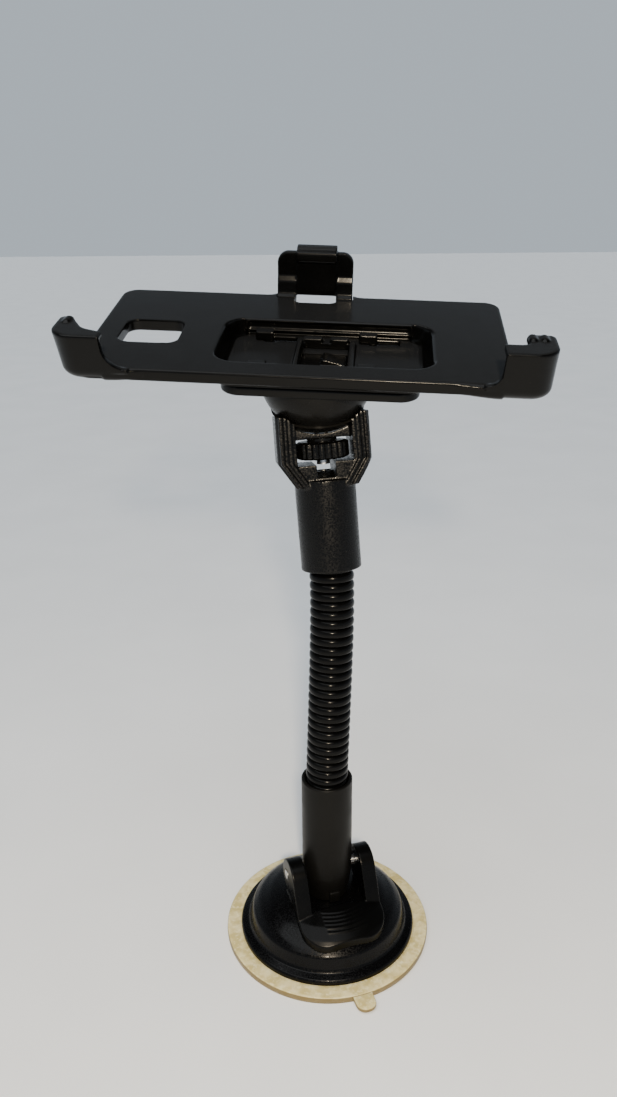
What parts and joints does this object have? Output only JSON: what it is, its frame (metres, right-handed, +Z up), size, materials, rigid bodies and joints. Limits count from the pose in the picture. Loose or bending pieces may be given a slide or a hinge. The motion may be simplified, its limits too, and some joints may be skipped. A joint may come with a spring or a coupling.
{
  "type": "car phone mount",
  "caption": "Car phone mount with a lever-locked suction base, a bendable ribbed gooseneck, a clamped ball joint and a slide-off snap-in phone cradle.",
  "frame": {"origin": "centre of the suction cup's bottom face, where it meets the screen or dashboard", "axes": "+Z up, away from the surface it is stuck to; +X along the cradle's long side, to the right as seen by the user; +Y away from the user"},
  "size_m": [0.1332, 0.091, 0.2259],
  "materials": {
    "pvc": "translucent soft PVC, slightly yellowed",
    "base_plastic": "smooth satin black",
    "lever_plastic": "semi-gloss black",
    "tube_plastic": "satin dark grey",
    "neck_plastic": "glossy black",
    "collar_plastic": "semi-gloss black with a fine grain",
    "bowl_plastic": "smooth satin dark grey",
    "cradle_plastic": "fine-grained satin charcoal",
    "black_plastic": "satin black",
    "steel": "zinc-plated steel"
  },
  "bodies": {
    "base": {"suction_cup": "pvc", "base_shell": "base_plastic", "lower_socket": "tube_plastic", "socket_screws": "steel", "lower_ferrule": "neck_plastic"},
    "stem": {"cup_stem": "black_plastic", "lever_pin": "steel", "cup_membrane": "pvc"},
    "lever": {"lock_lever": "lever_plastic"},
    "seg_01": {"neck_segment_01": "neck_plastic"},
    "seg_02": {"neck_segment_02": "neck_plastic"},
    "seg_03": {"neck_segment_03": "neck_plastic"},
    "seg_04": {"neck_segment_04": "neck_plastic"},
    "seg_05": {"neck_segment_05": "neck_plastic"},
    "seg_06": {"neck_segment_06": "neck_plastic"},
    "seg_07": {"neck_segment_07": "neck_plastic"},
    "seg_08": {"neck_segment_08": "neck_plastic"},
    "seg_09": {"neck_segment_09": "neck_plastic"},
    "seg_10": {"neck_segment_10": "neck_plastic"},
    "seg_11": {"neck_segment_11": "neck_plastic"},
    "seg_12": {"neck_segment_12": "neck_plastic"},
    "seg_13": {"neck_segment_13": "neck_plastic"},
    "collar": {"upper_ferrule": "neck_plastic", "upper_collar": "collar_plastic", "nut_washer": "black_plastic"},
    "bolt": {"clamp_bolt": "steel"},
    "nut": {"knurled_nut": "collar_plastic"},
    "outer_ring": {"outer_friction_ring": "bowl_plastic"},
    "inner_ring": {"inner_friction_ring": "bowl_plastic"},
    "head": {"swivel_bowl": "bowl_plastic", "bowl_screws": "steel", "head_plate": "cradle_plastic"},
    "latch": {"latch_tongue": "black_plastic"},
    "cradle": {"cradle": "cradle_plastic"},
    "clip": {"back_clip": "cradle_plastic"}
  },
  "joints": [
    {"name": "lever_lift", "type": "hinge", "parent": "stem", "child": "lever", "pos_m": [0, 0, 0.025], "axis": [-0.9455, -0.3256, 0], "range_deg": [0, 65]},
    {"name": "stem_slide", "type": "slide", "parent": "base", "child": "stem", "axis": [0, 0, 1], "range_m": [-0.002, 0], "deforming": ["cup_membrane"]},
    {"name": "bend_00", "type": "hinge", "parent": "base", "child": "seg_01", "pos_m": [0, 0, 0.061], "axis": [0.9995, 0, -0.0332], "range_deg": [-7.14, 7.14]},
    {"name": "bend_01", "type": "hinge", "parent": "seg_01", "child": "seg_02", "pos_m": [0.00019, 0, 0.0667], "axis": [-0.0004, 0.9999, -0.0121], "range_deg": [-7.14, 7.14]},
    {"name": "bend_02", "type": "hinge", "parent": "seg_02", "child": "seg_03", "pos_m": [0.00038, 0.00007, 0.07239], "axis": [0.9995, 0, -0.0331], "range_deg": [-7.14, 7.14]},
    {"name": "bend_03", "type": "hinge", "parent": "seg_03", "child": "seg_04", "pos_m": [0.00057, 0.00021, 0.07809], "axis": [-0.0012, 0.9993, -0.0362], "range_deg": [-7.14, 7.14]},
    {"name": "bend_04", "type": "hinge", "parent": "seg_04", "child": "seg_05", "pos_m": [0.00076, 0.00041, 0.08378], "axis": [0.9995, 0, -0.0329], "range_deg": [-7.14, 7.14]},
    {"name": "bend_05", "type": "hinge", "parent": "seg_05", "child": "seg_06", "pos_m": [0.00094, 0.00069, 0.08947], "axis": [-0.002, 0.9982, -0.0603], "range_deg": [-7.14, 7.14]},
    {"name": "bend_06", "type": "hinge", "parent": "seg_06", "child": "seg_07", "pos_m": [0.00113, 0.00103, 0.09516], "axis": [0.9995, 0.0001, -0.0309], "range_deg": [-7.14, 7.14]},
    {"name": "bend_07", "type": "hinge", "parent": "seg_07", "child": "seg_08", "pos_m": [0.0013, 0.00145, 0.10084], "axis": [-0.0028, 0.9964, -0.0844], "range_deg": [-7.14, 7.14]},
    {"name": "bend_08", "type": "hinge", "parent": "seg_08", "child": "seg_09", "pos_m": [0.00146, 0.00193, 0.10652], "axis": [0.9997, 0.0008, -0.0236], "range_deg": [-7.14, 7.14]},
    {"name": "bend_09", "type": "hinge", "parent": "seg_09", "child": "seg_10", "pos_m": [0.0016, 0.00248, 0.11219], "axis": [-0.0034, 0.9941, -0.1085], "range_deg": [-7.14, 7.14]},
    {"name": "bend_10", "type": "hinge", "parent": "seg_10", "child": "seg_11", "pos_m": [0.00169, 0.0031, 0.11786], "axis": [1, 0.0031, -0.0042], "range_deg": [-7.14, 7.14]},
    {"name": "bend_11", "type": "hinge", "parent": "seg_11", "child": "seg_12", "pos_m": [0.00171, 0.00378, 0.12351], "axis": [-0.0036, 0.9912, -0.1325], "range_deg": [-7.14, 7.14]},
    {"name": "bend_12", "type": "hinge", "parent": "seg_12", "child": "seg_13", "pos_m": [0.00163, 0.00454, 0.12916], "axis": [0.9992, 0.0091, 0.0388], "range_deg": [-7.14, 7.14]},
    {"name": "bend_13", "type": "hinge", "parent": "seg_13", "child": "collar", "pos_m": [0.0014, 0.00536, 0.1348], "axis": [-0.003, 0.9877, -0.1564], "range_deg": [-7.14, 7.14]},
    {"name": "tilt_fore", "type": "hinge", "parent": "collar", "child": "outer_ring", "pos_m": [-0.00289, 0.01422, 0.19084], "axis": [0.9894, 0.135, 0.0543], "range_deg": [-50.4, 2.1]},
    {"name": "tilt_side", "type": "hinge", "parent": "outer_ring", "child": "inner_ring", "pos_m": [-0.00289, 0.01422, 0.19084], "axis": [-0.1445, 0.955, 0.259], "range_deg": [-11.1, 6.4]},
    {"name": "head_spin", "type": "hinge", "parent": "inner_ring", "child": "head", "pos_m": [-0.00289, 0.01422, 0.19084], "axis": [0.0228, -0.2585, 0.9657], "continuous": true},
    {"name": "nut_turn", "type": "hinge", "parent": "collar", "child": "nut", "pos_m": [-0.0012, 0.01073, 0.16878], "axis": [-0.0753, 0.1557, 0.9849], "range_deg": [0, 360]},
    {"name": "bolt_lift", "type": "slide", "parent": "collar", "child": "bolt", "axis": [-0.0753, 0.1557, 0.9849], "range_m": [0, 0.0007]},
    {"name": "cradle_slide", "type": "slide", "parent": "head", "child": "cradle", "axis": [-0.9976, 0.058, 0.039], "range_m": [0, 0.0065]},
    {"name": "latch_flex", "type": "hinge", "parent": "head", "child": "latch", "pos_m": [-0.00817, 0.01648, 0.19344], "axis": [0.0661, 0.9643, 0.2565], "range_deg": [0, 10.5]},
    {"name": "clip_flex", "type": "hinge", "parent": "cradle", "child": "clip", "pos_m": [-0.00381, 0.0467, 0.20618], "axis": [-0.9976, 0.058, 0.039], "range_deg": [0, 8], "stiffness_Nm_per_rad": 0.9}
  ],
  "couplings": [
    {"joint": "lever_lift", "follows": "stem_slide", "rad_per_m": -567.23},
    {"joint": "bend_02", "follows": "bend_00", "ratio": 1},
    {"joint": "bend_03", "follows": "bend_01", "ratio": 1},
    {"joint": "bend_04", "follows": "bend_00", "ratio": 1},
    {"joint": "bend_05", "follows": "bend_01", "ratio": 1},
    {"joint": "bend_06", "follows": "bend_00", "ratio": 1},
    {"joint": "bend_07", "follows": "bend_01", "ratio": 1},
    {"joint": "bend_08", "follows": "bend_00", "ratio": 1},
    {"joint": "bend_09", "follows": "bend_01", "ratio": 1},
    {"joint": "bend_10", "follows": "bend_00", "ratio": 1},
    {"joint": "bend_11", "follows": "bend_01", "ratio": 1},
    {"joint": "bend_12", "follows": "bend_00", "ratio": 1},
    {"joint": "bend_13", "follows": "bend_01", "ratio": 1},
    {"joint": "nut_turn", "follows": "bolt_lift", "rad_per_m": 8976},
    {"joint": "latch_flex", "follows": "cradle_slide", "rad_per_m": 28.194}
  ]
}
